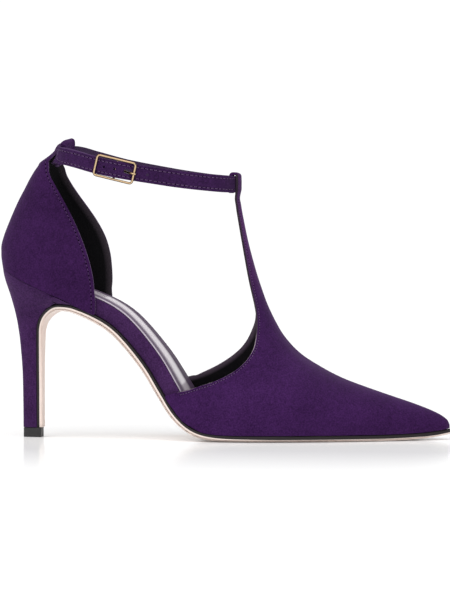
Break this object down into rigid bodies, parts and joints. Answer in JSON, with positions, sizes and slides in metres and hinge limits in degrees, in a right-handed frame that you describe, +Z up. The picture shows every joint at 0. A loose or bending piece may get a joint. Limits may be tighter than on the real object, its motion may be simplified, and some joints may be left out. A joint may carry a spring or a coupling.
{
  "type": "strap stiletto pump",
  "caption": "Pointed suede pump on a slim high heel, with cut-away sides, a T-bar and a buckled ankle strap.",
  "frame": {"origin": "middle of the footprint's bounding box, on the floor that heel tip and forefoot stand on", "axes": "+X to the toe, +Y to the inner side of the foot, +Z up"},
  "size_m": [0.2516, 0.0764, 0.1675],
  "materials": {
    "sole_leather": "smooth nude leather with a black painted edge",
    "heel_suede": "purple suede wrapped over a hard core",
    "tip_rubber": "matt black",
    "insole_suede": "purple suede wrap",
    "sock_leather": "glossy purple lining",
    "vamp_suede": "purple suede, black lining",
    "quarter_suede": "purple suede, black lining",
    "strap_suede": "purple suede",
    "frame_gold": "polished gold tone",
    "bar_gold": "polished gold tone",
    "prong_gold": "polished gold tone"
  },
  "bodies": {
    "root": {"outsole": "sole_leather", "heel": "heel_suede", "top_piece": "tip_rubber", "insole": "insole_suede", "sock": "sock_leather", "vamp": "vamp_suede", "quarter": "quarter_suede", "ankle_strap": "strap_suede", "buckle_frame": "frame_gold", "buckle_bar": "bar_gold", "buckle_prong": "prong_gold"}
  },
  "joints": []
}
